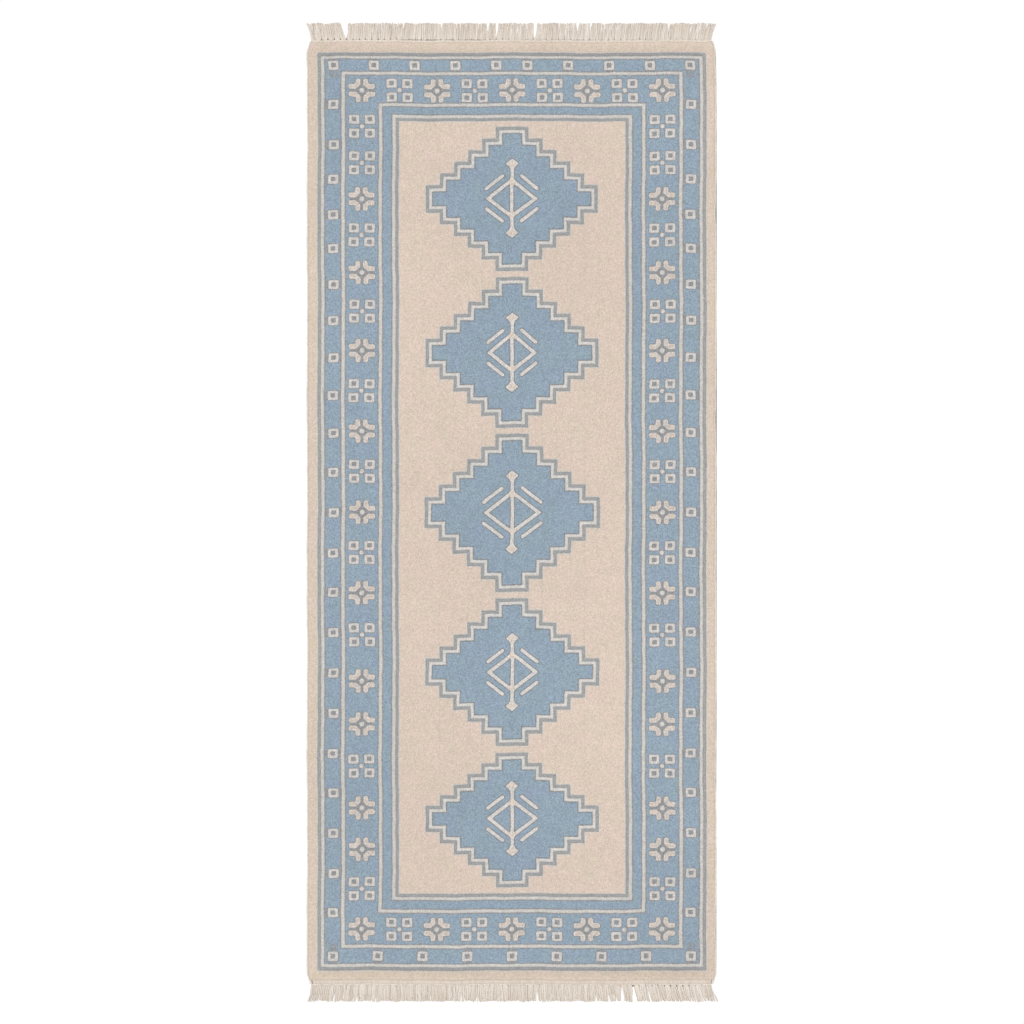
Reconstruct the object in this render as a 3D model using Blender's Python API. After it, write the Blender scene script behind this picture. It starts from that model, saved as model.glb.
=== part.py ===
"""Runner rug with a stepped-medallion design: woven foundation, latex back coat, cut pile in coloured zones,
overcast sides on a cord, folded end hems and a sewn-on yarn fringe at both ends.

Metres, +Z up. The rug lies flat: its underside is z = 0, its length runs along Y and its width along X. The
end at +Y is called far and the end at -Y near.
"""

import math

import bmesh
import bpy

MM = 0.001

# Overall sizes
RUG_WIDTH = 762 * MM  # over the overcast sides
RUG_LENGTH = 1820 * MM  # over the fringes
FRINGE_LENGTH = 32 * MM  # each end, hem to tips
GAP = 0.3 * MM  # between two pieces that lie against each other
CUTTER_WELD = 0.001 * MM  # joins a cutter's caps to its sides

# Thicknesses, from the floor up
COAT_THICKNESS = 0.7 * MM
FOUNDATION_THICKNESS = 2 * MM
PILE_HEIGHT = 6.7 * MM

# Overcast sides: a thread wrap round a cord, with two lips that grip the edge of the foundation
SIDE_RIM = 4.5 * MM  # seen beside the pile
ARC_STEPS = 8

# End hems: a folded tape over each end of the foundation
HEM_WIDTH = 4 * MM

# Fringe: a knitted header sewn to the hem, and yarn tassels that hang from it
HEADER_WIDTH = 4.5 * MM
FRINGE_THICKNESS = 3 * MM
FRINGE_INSET = 11 * MM  # the fringe stops this far short of each side
FRINGE_ROOT = 2 * MM
TASSEL_PITCH = 11.4 * MM
TASSEL_SPLIT = 1.8 * MM  # between two tassels

# Pile borders, from the rim inwards: node, colour, width at the sides, at the far end and at the near end
BORDERS = (
    ("pile_edge_band", "beige", 15.0 * MM, 18.9 * MM, 22.0 * MM),
    ("pile_outer_outline", "grey", 6.0 * MM, 5.7 * MM, 6.5 * MM),
    ("pile_outer_ivory_line", "ivory", 5.9 * MM, 4.9 * MM, 5.4 * MM),
    ("pile_guard_band", "blue", 31.9 * MM, 24.9 * MM, 30.0 * MM),
    ("pile_guard_ivory_line", "ivory", 6.4 * MM, 5.2 * MM, 5.6 * MM),
    ("pile_main_band", "blue", 63.1 * MM, 53.2 * MM, 60.1 * MM),
    ("pile_main_ivory_line", "ivory", 6.2 * MM, 5.4 * MM, 5.7 * MM),
    ("pile_inner_band", "blue", 18.8 * MM, 16.0 * MM, 18.1 * MM),
    ("pile_inner_ivory_line", "ivory", 6.2 * MM, 5.8 * MM, 5.6 * MM),
    ("pile_inner_outline", "grey", 5.6 * MM, 5.4 * MM, 5.9 * MM),
)

# Medallions: a column of stepped lozenges that fills the field
MEDALLION_REPEATS = (268, 280, 292, 276, 251)  # lengths of the five repeats against each other, far to near
MEDALLION_SPACING = 12 * MM  # between two medallions, and to the ends of the field
MEDALLION_SIDE_MARGIN = 51 * MM  # from the side tips to the sides of the field
MEDALLION_STEPS = 5  # stair steps in each quarter
MEDALLION_END_FLAT = 30 * MM  # half the flat at each end
MEDALLION_TIP_FLAT = 24 * MM  # half the flat at each side
MEDALLION_OUTLINE = 5.6 * MM
MEDALLION_IVORY_LINE = 6.7 * MM

# Emblem in each medallion: a bar with a diamond at each end, through a rhombus
EMBLEM_REACH = 0.55  # half its length against the medallion's half length
EMBLEM_BAR = 7 * MM  # width of the bar
DIAMOND_HALF_WIDTH = 11.5 * MM
DIAMOND_HALF_LENGTH = 10 * MM
RHOMBUS_HALF_WIDTH = 47 * MM
RHOMBUS_REACH = 0.48  # half the rhombus's length against half the emblem's

# Levels and lines that follow from the sizes
SLOT_FLOOR = COAT_THICKNESS + GAP
FOUNDATION_TOP = SLOT_FLOOR + FOUNDATION_THICKNESS
PILE_BASE = FOUNDATION_TOP + GAP
PILE_TOP = PILE_BASE + PILE_HEIGHT
WRAP_WALL = COAT_THICKNESS  # the wraps lie level with the back coat
CORD_RADIUS = FOUNDATION_THICKNESS / 2
WRAP_RADIUS = WRAP_WALL + GAP + CORD_RADIUS
WRAP_MIDDLE = WRAP_RADIUS
HALF_WIDTH = RUG_WIDTH / 2
HEM_END = RUG_LENGTH / 2 - FRINGE_LENGTH
HEM_START = HEM_END - HEM_WIDTH
LIP_END = HALF_WIDTH - SIDE_RIM
CORD_X = HALF_WIDTH - WRAP_RADIUS
HEADER_END = HEM_END + GAP + HEADER_WIDTH
FRINGE_HALF_WIDTH = HALF_WIDTH - FRINGE_INSET

# Colours as linear RGB, with the roughness of the yarn
FINISHES = {
    "beige": ((0.68, 0.58, 0.48), 0.95),
    "blue": ((0.29, 0.37, 0.45), 0.95),
    "grey": ((0.34, 0.34, 0.335), 0.95),
    "ivory": ((0.62, 0.60, 0.57), 0.95),
    "cotton": ((0.71, 0.65, 0.57), 0.9),
    "overcast": ((0.52, 0.47, 0.42), 0.9),
    "jute": ((0.42, 0.32, 0.22), 0.95),
    "latex": ((0.55, 0.50, 0.42), 0.7),
}

SIDES = (("left", -1), ("right", 1))
ENDS = (("far", 1), ("near", -1))


def clear_scene():
    for old in list(bpy.data.objects):
        bpy.data.objects.remove(old, do_unlink=True)


def new_collection(name):
    collection = bpy.data.collections.new(name)
    bpy.context.scene.collection.children.link(collection)
    return collection


def finish_of(node, finish):
    colour, roughness = FINISHES[finish]
    material = bpy.data.materials.new(node)
    material.use_nodes = True
    shader = material.node_tree.nodes["Principled BSDF"]
    shader.inputs["Base Color"].default_value = (*colour, 1)
    shader.inputs["Roughness"].default_value = roughness
    shader.inputs["Metallic"].default_value = 0
    material.diffuse_color = (*colour, 1)
    return material


def add_piece(node, data, finish, location=(0, 0, 0), rotation=(0, 0, 0)):
    data.materials.append(finish_of(node, finish))
    piece = bpy.data.objects.new(node, data)
    piece.location = location
    piece.rotation_euler = rotation
    PARTS.objects.link(piece)
    return piece


def outline_curve(node, outlines, thickness):
    """A filled flat curve: the first outline is the edge, and any more are holes in it."""
    curve = bpy.data.curves.new(node, "CURVE")
    curve.dimensions = "2D"
    curve.fill_mode = "BOTH"
    curve.extrude = thickness / 2
    for outline in outlines:
        spline = curve.splines.new("POLY")
        spline.points.add(len(outline) - 1)
        for point, (x, y) in zip(spline.points, outline):
            point.co = (x, y, 0, 1)
        spline.use_cyclic_u = True
    return curve


def slab(node, finish, outlines, bottom, top):
    """A flat piece of the given outline, lying between two levels."""
    curve = outline_curve(node, outlines, top - bottom)
    return add_piece(node, curve, finish, (0, 0, (bottom + top) / 2))


def rectangle(half_width, near, far):
    return [(-half_width, near), (half_width, near), (half_width, far), (-half_width, far)]


def four_quarters(quarter):
    """Mirrors a quarter outline, which runs from the Y axis to the X axis, into the whole outline."""
    right = quarter + [(x, -y) for x, y in reversed(quarter) if y > 0]
    left = [(-x, y) for x, y in reversed(right) if x > 0]
    return right + left


def moved(outline, y):
    return [(px, py + y) for px, py in outline]


def lozenge(half_width, half_length, inset):
    """A stepped lozenge, drawn in by inset along all its edges."""
    step_x = (half_width - MEDALLION_END_FLAT) / MEDALLION_STEPS
    step_y = (half_length - MEDALLION_TIP_FLAT) / MEDALLION_STEPS
    quarter = []
    for step in range(MEDALLION_STEPS):
        x = MEDALLION_END_FLAT + step * step_x - inset
        quarter.append((x, half_length - step * step_y - inset))
        quarter.append((x, half_length - (step + 1) * step_y - inset))
    quarter.append((half_width - inset, MEDALLION_TIP_FLAT - inset))
    return four_quarters(quarter)


def emblem_outline(half_length, grown):
    """The emblem's outline, spread by about grown on every side."""
    reach = half_length * EMBLEM_REACH
    half_bar = EMBLEM_BAR / 2 + grown
    rhombus_length = reach * RHOMBUS_REACH + grown
    rhombus_width = RHOMBUS_HALF_WIDTH + grown * rhombus_width_factor(reach)
    widest = reach - DIAMOND_HALF_LENGTH
    quarter = [
        (0, reach + grown * 2),
        (DIAMOND_HALF_WIDTH + grown * 2, widest),
        (half_bar, widest - DIAMOND_HALF_LENGTH),
        (half_bar, rhombus_length * (1 - half_bar / rhombus_width)),
        (rhombus_width, 0),
    ]
    return four_quarters(quarter)


def rhombus_width_factor(reach):
    """How far the rhombus's side tips move out for each unit that its ends do, with its slope kept."""
    return RHOMBUS_HALF_WIDTH / (reach * RHOMBUS_REACH)


def build_foundation():
    edge_x = CORD_X - CORD_RADIUS - GAP
    edge_y = HEM_END - WRAP_WALL - GAP
    outline = rectangle(edge_x, -edge_y, edge_y)
    slab("woven_foundation", "jute", [outline], SLOT_FLOOR, FOUNDATION_TOP)
    outline = rectangle(LIP_END - GAP, GAP - HEM_START, HEM_START - GAP)
    slab("latex_back_coat", "latex", [outline], 0, COAT_THICKNESS)


def arc(x, z, radius, start, end):
    turns = [start + (end - start) * step / ARC_STEPS for step in range(ARC_STEPS + 1)]
    return [(x + radius * math.cos(turn), z + radius * math.sin(turn)) for turn in turns]


def build_overcast_sides():
    """A C-shaped wrap down each side, open towards the foundation and at both ends, with its cord inside."""
    quarter_turn = math.pi / 2
    outer = arc(CORD_X, WRAP_MIDDLE, WRAP_RADIUS, -quarter_turn, quarter_turn)
    inner = arc(CORD_X, WRAP_MIDDLE, WRAP_RADIUS - WRAP_WALL, quarter_turn, -quarter_turn)
    upper_lip = [(LIP_END, 2 * WRAP_MIDDLE), (LIP_END, 2 * WRAP_MIDDLE - WRAP_WALL)]
    lower_lip = [(LIP_END, WRAP_WALL), (LIP_END, 0)]
    section = outer + upper_lip + inner + lower_lip
    for side, sign in SIDES:
        node = f"side_binding_{side}"
        wrap = outline_curve(node, [[(sign * x, z) for x, z in section]], 2 * HEM_END)
        add_piece(node, wrap, "overcast", rotation=(quarter_turn, 0, 0))
        node = f"edge_cord_{side}"
        cord = bpy.data.curves.new(node, "CURVE")
        cord.dimensions = "3D"
        cord.bevel_depth = CORD_RADIUS
        cord.bevel_resolution = 2
        cord.use_fill_caps = True
        spline = cord.splines.new("POLY")
        spline.points.add(1)
        for point, y in zip(spline.points, (-HEM_END, HEM_END)):
            point.co = (0, y, 0, 1)
        add_piece(node, cord, "cotton", (sign * CORD_X, 0, WRAP_MIDDLE))


def build_end_hems():
    """A folded tape over each end: a channel that takes the end of the foundation."""
    lip_top = FOUNDATION_TOP + GAP
    hem_top = lip_top + WRAP_WALL
    channel_end = HEM_END - WRAP_WALL
    section = [
        (HEM_START, 0),
        (HEM_END, 0),
        (HEM_END, hem_top),
        (HEM_START, hem_top),
        (HEM_START, lip_top),
        (channel_end, lip_top),
        (channel_end, COAT_THICKNESS),
        (HEM_START, COAT_THICKNESS),
    ]
    for end, sign in ENDS:
        node = f"end_hem_{end}"
        hem = outline_curve(node, [[(sign * y, z) for y, z in section]], 2 * (LIP_END - GAP))
        add_piece(node, hem, "cotton", rotation=(math.pi / 2, 0, math.pi / 2))


def block(node, finish, low, high):
    """A plain block between two corners."""
    mesh = bpy.data.meshes.new(node)
    bm = bmesh.new()
    bmesh.ops.create_cube(bm, size=1)
    size = [b - a for a, b in zip(low, high)]
    bmesh.ops.scale(bm, vec=size, verts=bm.verts)
    bm.to_mesh(mesh)
    bm.free()
    return add_piece(node, mesh, finish, [(a + b) / 2 for a, b in zip(low, high)])


def tassel_comb():
    """Outline of the fringe: a root strip along the header, with a finger for each tassel."""
    tassels = round(2 * FRINGE_HALF_WIDTH / TASSEL_PITCH)
    pitch = 2 * FRINGE_HALF_WIDTH / tassels
    root_start = HEADER_END + GAP
    root_end = root_start + FRINGE_ROOT
    tip = RUG_LENGTH / 2
    outline = [(FRINGE_HALF_WIDTH, root_start), (-FRINGE_HALF_WIDTH, root_start)]
    for tassel in range(tassels):
        left = -FRINGE_HALF_WIDTH + tassel * pitch
        right = left + pitch
        left += TASSEL_SPLIT / 2 if tassel else 0
        right -= TASSEL_SPLIT / 2 if tassel < tassels - 1 else 0
        outline += [(left, root_end)] if tassel else []
        outline += [(left, tip), (right, tip)]
        outline += [(right, root_end)] if tassel < tassels - 1 else []
    return outline


def build_fringes():
    comb = tassel_comb()
    for end, sign in ENDS:
        near, far = sorted((sign * (HEM_END + GAP), sign * HEADER_END))
        low = (-FRINGE_HALF_WIDTH, near, 0)
        high = (FRINGE_HALF_WIDTH, far, FRINGE_THICKNESS)
        block(f"fringe_header_{end}", "cotton", low, high)
        outline = [(x, sign * y) for x, y in comb]
        slab(f"fringe_{end}", "cotton", [outline], 0, FRINGE_THICKNESS)


def build_borders():
    """The rings of pile, each from its outer line to its inner line. Returns the lines round the field."""
    half_width = LIP_END - GAP / 2
    far = HEM_START - GAP / 2
    near = -far
    for node, finish, side_width, far_width, near_width in BORDERS:
        outer = rectangle(half_width - GAP / 2, near + GAP / 2, far - GAP / 2)
        half_width -= side_width
        far -= far_width
        near += near_width
        inner = rectangle(half_width + GAP / 2, near - GAP / 2, far + GAP / 2)
        slab(node, finish, [outer, inner], PILE_BASE, PILE_TOP)
    return half_width, near, far


def build_medallion(number, middle, half_width, half_length):
    """One medallion: grey outline, ivory line, blue ground and ivory emblem. Returns the hole that it fills."""
    ivory_inset = MEDALLION_OUTLINE
    ground_inset = ivory_inset + MEDALLION_IVORY_LINE
    lines = []
    for inset in (0, ivory_inset, ground_inset):
        inside = moved(lozenge(half_width, half_length, inset + GAP / 2), middle)
        outside = moved(lozenge(half_width, half_length, inset - GAP / 2), middle)
        lines.append((inside, outside))
    node = f"medallion_{number}"
    emblem = moved(emblem_outline(half_length, 0), middle)
    socket = moved(emblem_outline(half_length, GAP), middle)
    slab(f"{node}_outline", "grey", [lines[0][0], lines[1][1]], PILE_BASE, PILE_TOP)
    slab(f"{node}_ivory_line", "ivory", [lines[1][0], lines[2][1]], PILE_BASE, PILE_TOP)
    slab(f"{node}_ground", "blue", [lines[2][0], socket], PILE_BASE, PILE_TOP)
    slab(f"{node}_emblem", "ivory", [emblem], PILE_BASE, PILE_TOP)
    return lines[0][1]


def cutter(name, outline, bottom, top):
    """A closed mesh of the given outline, which reaches past both levels."""
    data = outline_curve(name, [outline], 2 * (top - bottom))
    curve = bpy.data.objects.new(name, data)
    CUTTERS.objects.link(curve)
    curve.location.z = (bottom + top) / 2
    bpy.context.view_layer.update()
    mesh = bpy.data.meshes.new_from_object(curve.evaluated_get(bpy.context.evaluated_depsgraph_get()))
    bm = bmesh.new()
    bm.from_mesh(mesh)
    bmesh.ops.remove_doubles(bm, verts=bm.verts, dist=CUTTER_WELD)
    bm.to_mesh(mesh)
    bm.free()
    solid = bpy.data.objects.new(name, mesh)
    solid.matrix_world = curve.matrix_world
    solid.hide_render = True
    solid.display_type = "WIRE"
    CUTTERS.objects.link(solid)
    bpy.data.objects.remove(curve, do_unlink=True)
    return solid


def build_field(field_half_width, near, far):
    """The beige field, and the medallions let into it from the far end to the near end."""
    low = (GAP / 2 - field_half_width, near + GAP / 2, PILE_BASE)
    high = (field_half_width - GAP / 2, far - GAP / 2, PILE_TOP)
    field = block("pile_field", "beige", low, high)
    free = far - near - MEDALLION_SPACING * (len(MEDALLION_REPEATS) + 1)
    half_width = field_half_width - MEDALLION_SIDE_MARGIN
    start = far
    for number, repeat in enumerate(MEDALLION_REPEATS, 1):
        half_length = free * repeat / sum(MEDALLION_REPEATS) / 2
        middle = start - MEDALLION_SPACING - half_length
        hole = build_medallion(number, middle, half_width, half_length)
        cut = field.modifiers.new(f"medallion_{number}", "BOOLEAN")
        cut.operation = "DIFFERENCE"
        cut.solver = "EXACT"
        cut.object = cutter(f"medallion_{number}_cutter", hole, PILE_BASE, PILE_TOP)
        start = middle - half_length


clear_scene()
PARTS = new_collection("runner_rug")
CUTTERS = new_collection("cutters")
build_foundation()
build_overcast_sides()
build_end_hems()
build_fringes()
build_field(*build_borders())
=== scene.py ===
"""Looks of the runner rug: cut pile in its coloured zones, overcast sides, hems, yarn fringes and back."""

import math

import bmesh
import bpy
import numpy as np
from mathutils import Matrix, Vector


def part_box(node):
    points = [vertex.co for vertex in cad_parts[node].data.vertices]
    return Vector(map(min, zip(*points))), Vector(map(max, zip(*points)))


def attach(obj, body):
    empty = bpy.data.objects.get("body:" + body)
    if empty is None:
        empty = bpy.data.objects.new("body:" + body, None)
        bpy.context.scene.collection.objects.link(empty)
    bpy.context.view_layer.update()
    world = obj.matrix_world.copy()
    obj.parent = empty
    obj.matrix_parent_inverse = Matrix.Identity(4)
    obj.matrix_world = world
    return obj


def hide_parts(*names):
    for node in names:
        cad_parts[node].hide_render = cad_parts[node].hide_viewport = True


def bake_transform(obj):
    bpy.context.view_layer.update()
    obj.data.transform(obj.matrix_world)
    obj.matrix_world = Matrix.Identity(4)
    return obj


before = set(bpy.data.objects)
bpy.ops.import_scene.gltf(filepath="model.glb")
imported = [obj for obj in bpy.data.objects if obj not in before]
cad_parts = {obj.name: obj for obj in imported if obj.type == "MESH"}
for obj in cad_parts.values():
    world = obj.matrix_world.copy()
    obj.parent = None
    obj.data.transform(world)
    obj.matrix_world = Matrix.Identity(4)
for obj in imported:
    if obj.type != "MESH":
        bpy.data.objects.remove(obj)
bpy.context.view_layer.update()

MM = 0.001
SEED = 20

# Where things are, read from the frame
PILE_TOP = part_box("pile_field")[1].z
PILE_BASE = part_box("pile_field")[0].z
HALF_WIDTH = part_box("side_binding_right")[1].x
PILE_HALF_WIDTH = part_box("pile_edge_band")[1].x
PILE_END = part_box("pile_edge_band")[1].y
HEM_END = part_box("end_hem_far")[1].y
HEADER_HALF_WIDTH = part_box("fringe_header_far")[1].x
FRINGE_HALF_WIDTH = HEADER_HALF_WIDTH + 6 * MM
HEADER_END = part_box("fringe_header_far")[1].y
FRINGE_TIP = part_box("fringe_far")[1].y

RINGS = (
    "pile_edge_band",
    "pile_outer_outline",
    "pile_outer_ivory_line",
    "pile_guard_band",
    "pile_guard_ivory_line",
    "pile_main_band",
    "pile_main_ivory_line",
    "pile_inner_band",
    "pile_inner_ivory_line",
    "pile_inner_outline",
    "pile_field",
)
MEDALLIONS = range(1, 6)
MEDALLION_STEPS = 5
# Each medallion as it was tufted, in mm: how far its ends and its side tips lie along the rug from where
# the frame has them, how much more its half width and half length are than the frame's, and half the
# widths of its ends and of its side tips
MEDALLION_SHAPES = (
    (0.2, 1.6, -0.4, 0.1, 30.2, 25.4),
    (0.3, 0.8, 0.7, 0.0, 30.6, 26.4),
    (-0.3, 1.5, 2.7, 0.9, 30.9, 28.4),
    (-0.8, 0.5, 1.4, -0.8, 30.4, 25.1),
    (-0.7, 2.6, 0.7, -0.5, 30.2, 24.3),
)
OUTLINE_EXTRA = 0.4 * MM  # the grey outline is a little wider than the frame's
LINE_LESS = 0.9 * MM  # and the ivory line inside it a little narrower
# Each emblem in mm: how far along the rug it lies, its rhombus, both ends of a loose stroke, and its bar
EMBLEMS = (
    (1.2, (43.8, 33.8), (47.1, 18.8), (17.8, 41.9), 66.2),
    (0.3, (41.8, 34.2), (44.6, 19.4), (17.5, 41.2), 66.2),
    (0.5, (49.0, 37.1), (53.4, 19.5), (19.2, 45.3), 70.0),
    (-0.7, (43.3, 33.5), (45.5, 19.6), (17.9, 40.6), 65.0),
    (2.3, (43.3, 33.1), (45.2, 19.5), (17.9, 40.4), 62.5),
)

# Figures: places across and along the rug in mm
COLUMN_KINDS = "FSSFSFSFSFSFSFSFFSFFSF"  # flowers and four-squares, far to near
COLUMN_PLACES = (
    785, 718, 650, 583, 516, 446, 374, 301, 226, 151, 76,
    0, -75, -150, -228, -314, -394, -472, -550, -627, -700, -775,
)
ROW_PITCH = 69.8  # figures along the main band at both ends
ROW_KINDS = "FSFS"  # from the middle out
GUARD_X = 332.5  # the columns of small squares, and their places along the rug
GUARD_PLACES = (
    759, 684, 620, 554, 491, 424, 357, 288, 218, 148, 75,
    0, -75, -148, -223, -298, -373, -448, -521, -596, -671, -744,
)
GUARD_FAR_PLACES = (29, 105, 181, 257, 332)  # across the rug, in the row at the far end
GUARD_NEAR_PITCH = 83.2  # in the row at the near end
GUARD_NEAR_COUNT = 5  # from the middle to the corner
BESIDE_ALONG, BESIDE_ACROSS = 8.6, 25.0  # the dark yarn beside a small square

# How near each kind of yarn lies to a line or figure, in mm
OUTLINE_MM = 1.7  # dark yarn drawn round every figure and line
CORE_MM = 0.9  # stands for the dark yarn inside a figure
BESIDE_MM = 1.6  # stands for the dark yarn beside one
FAR_OFF = 99.0  # further from everything than any yarn colour reaches

# Pile
TUFT_PITCH = 1.9 * MM
TUFT_CELL = 2.4 * MM  # mesh of the plain zones
FIGURE_CELL = 1.8 * MM  # and of the ones with figures
TUFT_RISE = 0.16 * MM  # how uneven the cut tips are
CARVE_DEPTH = 0.4 * MM  # the pile dips where two colours meet
CARVE_WIDTH = 1.3 * MM
FIGURE_CARVE = 0.8  # a figure's outline dips less than a zone's
UNCARVED_RIM = 3 * MM  # the pile's own outer edge isn't carved
SIDE_DROP = 0.8 * MM  # how far the pile rounds down at its sides
END_DROP = 0.7 * MM  # and at its ends
WALL_LEAN = 1.9 * MM  # how far the outer tufts lean out over the rim
WALL_UNEVEN = 0.35 * MM
NEAR_TUCK = 6.0 * MM  # the near hem is turned in over the pile a little
NEAR_TUCK_REACH = 14 * MM
TRIM_SHIFT = -1.1 * MM  # both sides were trimmed a little off centre

# How the rug lies
CORNER_DRAW = 5.5 * MM  # each corner is drawn in this far
CORNER_ALONG, CORNER_ACROSS = 17 * MM, 16 * MM
SWELL_HEIGHT = 0.35 * MM  # the rug isn't quite flat on the floor

# Overcast sides, hems and header
SHEET_CELL = 12 * MM
WRAP_SIDES = 12  # of each yarn wrap, round its edge
WRAP_ROWS = 6  # of mesh in each turn of yarn
SHADE_COUNT = 4000  # turns of yarn, each with its own shade
HEM_REACH = PILE_HALF_WIDTH - 3 * MM
TAPE_THICKNESS = 0.7 * MM
TAPE_CUTS = 60

# Fringe
TASSEL_PITCH = 11.4 * MM
STRANDS = 11  # in each tassel
STRAND_RADIUS = 1.2 * MM
STRAND_SIDES = 6
STRAND_ROWS = 14
LIFTED = 0.1 * MM  # the lowest that a strand lies above the floor
PARTING_REACH = 7 * MM  # how far to each side a parting pushes the strands
# Where the tips lie aside from their roots, and where the tassels part, both across the rug in mm
FAR_LEAN = (
    (-374, -12), (-345, -8), (-308.05, -8), (-307.95, 2), (-290, -2), (-262, -5), (-240, 0),
    (60, 1), (250, 4), (340, 5), (374, 10),
)
NEAR_LEAN = (
    (-374, -9), (-300, -5), (-200, -1), (0, 0), (120, 2), (180, 4), (230, 4), (260, 7), (345, 8), (374, 12),
)
# (root, width at the tips, share of the length that is parted)
FAR_PARTINGS = (
    (-308, 5, 0.85), (-204, 3, 0.3), (-132, 3, 0.3), (-45, 4, 0.5), (-30, 7, 0.8), (43, 9, 0.85),
    (120, 4, 0.5), (194, 5, 0.5), (289, 4, 0.4),
)
NEAR_PARTINGS = (
    (-286, 6, 0.3), (-45, 2, 0.2), (47, 6, 0.6), (87, 2, 0.2), (155, 4, 0.4), (177, 7, 0.4), (203, 8, 0.8),
    (226, 8, 1.0), (252, 7, 0.7),
)
# How wide a tassel is where it leaves the header, of its full width, at each place across the rug
FAR_NECKS = ((-374, 0.78), (-280, 0.84), (-150, 0.88), (374, 0.9))
NEAR_NECKS = ((-374, 0.95), (150, 0.94), (230, 0.85), (374, 0.82))
# How much longer the strands are than the frame's fringe
FAR_EXTRA = 1.9 * MM
NEAR_EXTRA = 0.7 * MM

# Stage
FLOOR_HALF_SIZE = 12
FLOOR_GLOW = 1.02  # the floor looks plain white to the camera, in the rug's own shade too
FLOOR_TONE = (0.6, 0.6, 0.6, 1)
WORLD_STRENGTH = 1.12
SUN_ENERGY = 1.5
SUN_ANGLE = 30  # degrees, wide enough for soft shades
SUN_TILT = (-6, -2.5)  # degrees
LENS, SENSOR = 85, 36
VIEW = 1.9046  # metres across the picture, at the top of the pile
CAMERA_X, CAMERA_Y = -0.0001, 0.0011


# ---------------------------------------------------------------- materials


def linear(hex_colour):
    """An sRGB hex colour as linear RGBA."""
    channels = [int(hex_colour[i : i + 2], 16) / 255 for i in (1, 3, 5)]
    return [c / 12.92 if c <= 0.04045 else ((c + 0.055) / 1.055) ** 2.4 for c in channels] + [1]


def add(tree, kind, inputs, **settings):
    """Adds a node with its settings, and with its inputs linked to sockets or set to values."""
    node = tree.nodes.new(kind)
    for name, value in settings.items():
        setattr(node, name, value)
    for key, value in inputs.items():
        if isinstance(value, bpy.types.NodeSocket):
            tree.links.new(value, node.inputs[key])
        else:
            node.inputs[key].default_value = value
    return node


def new_material(name):
    """A material with its node tree and its shader."""
    material = bpy.data.materials.new(name)
    material.use_nodes = True
    tree = material.node_tree
    return material, tree, tree.nodes["Principled BSDF"]


def blended(tree, factor, first, second):
    """The colour that goes from first to second as factor goes from 0 to 1."""
    mix = add(tree, "ShaderNodeMix", {"Factor": factor}, data_type="RGBA")
    for socket, value in ((mix.inputs[6], first), (mix.inputs[7], second)):
        if isinstance(value, bpy.types.NodeSocket):
            tree.links.new(value, socket)
        else:
            socket.default_value = value
    return mix.outputs[2]


def shaded(tree, colour, factor):
    """The colour made lighter or darker by the factor."""
    inputs = {0: colour[:3] if isinstance(colour, list) else colour, "Scale": factor}
    return add(tree, "ShaderNodeVectorMath", inputs, operation="SCALE").outputs["Vector"]


def ramped(tree, value, low, high, start=0.0, end=1.0):
    """The value's way from low to high, as the way from start to end, and no further."""
    inputs = {"Value": value, "From Min": low, "From Max": high, "To Min": start, "To Max": end}
    return add(tree, "ShaderNodeMapRange", inputs).outputs["Result"]


def noise(tree, place, size, detail=2.0):
    """Noise whose blobs are about size metres across."""
    inputs = {"Vector": place, "Scale": 1 / size, "Detail": detail, "Roughness": 0.5}
    return add(tree, "ShaderNodeTexNoise", inputs).outputs["Fac"]


def attribute(tree, name):
    """What the mesh has stored under the name."""
    return add(tree, "ShaderNodeAttribute", {}, attribute_name=name).outputs["Fac"]


def drawn_yarns(tree, colour, outline, figure, filling, core, border):
    """The zone's own colour with the other yarns drawn on it, by how near the lines and figures are."""
    if core:
        colour = blended(tree, ramped(tree, attribute(tree, "edge_mm"), 1.3, 2.1), colour, linear(core))
    if border:
        tone, low, high = border
        beside = ramped(tree, attribute(tree, "edge_mm"), low, high, 1, 0)
        colour = blended(tree, beside, colour, linear(tone))
    if outline:
        edge = ramped(tree, attribute(tree, "edge_mm"), OUTLINE_MM - 0.7, OUTLINE_MM + 1.5, 1, 0)
        colour = blended(tree, edge, colour, linear(outline))
        spill = ramped(tree, attribute(tree, "edge_mm"), 0, 0.8, 0.8, 0)
        colour = blended(tree, spill, colour, linear(IVORY))
    if figure:
        signed = attribute(tree, "figure_mm")
        round_it = ramped(tree, signed, OUTLINE_MM - 0.6, OUTLINE_MM + 0.8, 1, 0)
        colour = blended(tree, round_it, colour, linear(outline))
        colour = blended(tree, ramped(tree, signed, -0.35, 0.35, 1, 0), colour, linear(figure))
    if filling:
        inner = ramped(tree, attribute(tree, "filling_mm"), -2.3, -1.5, 1, 0)
        colour = blended(tree, inner, colour, linear(filling))
    return colour


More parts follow.
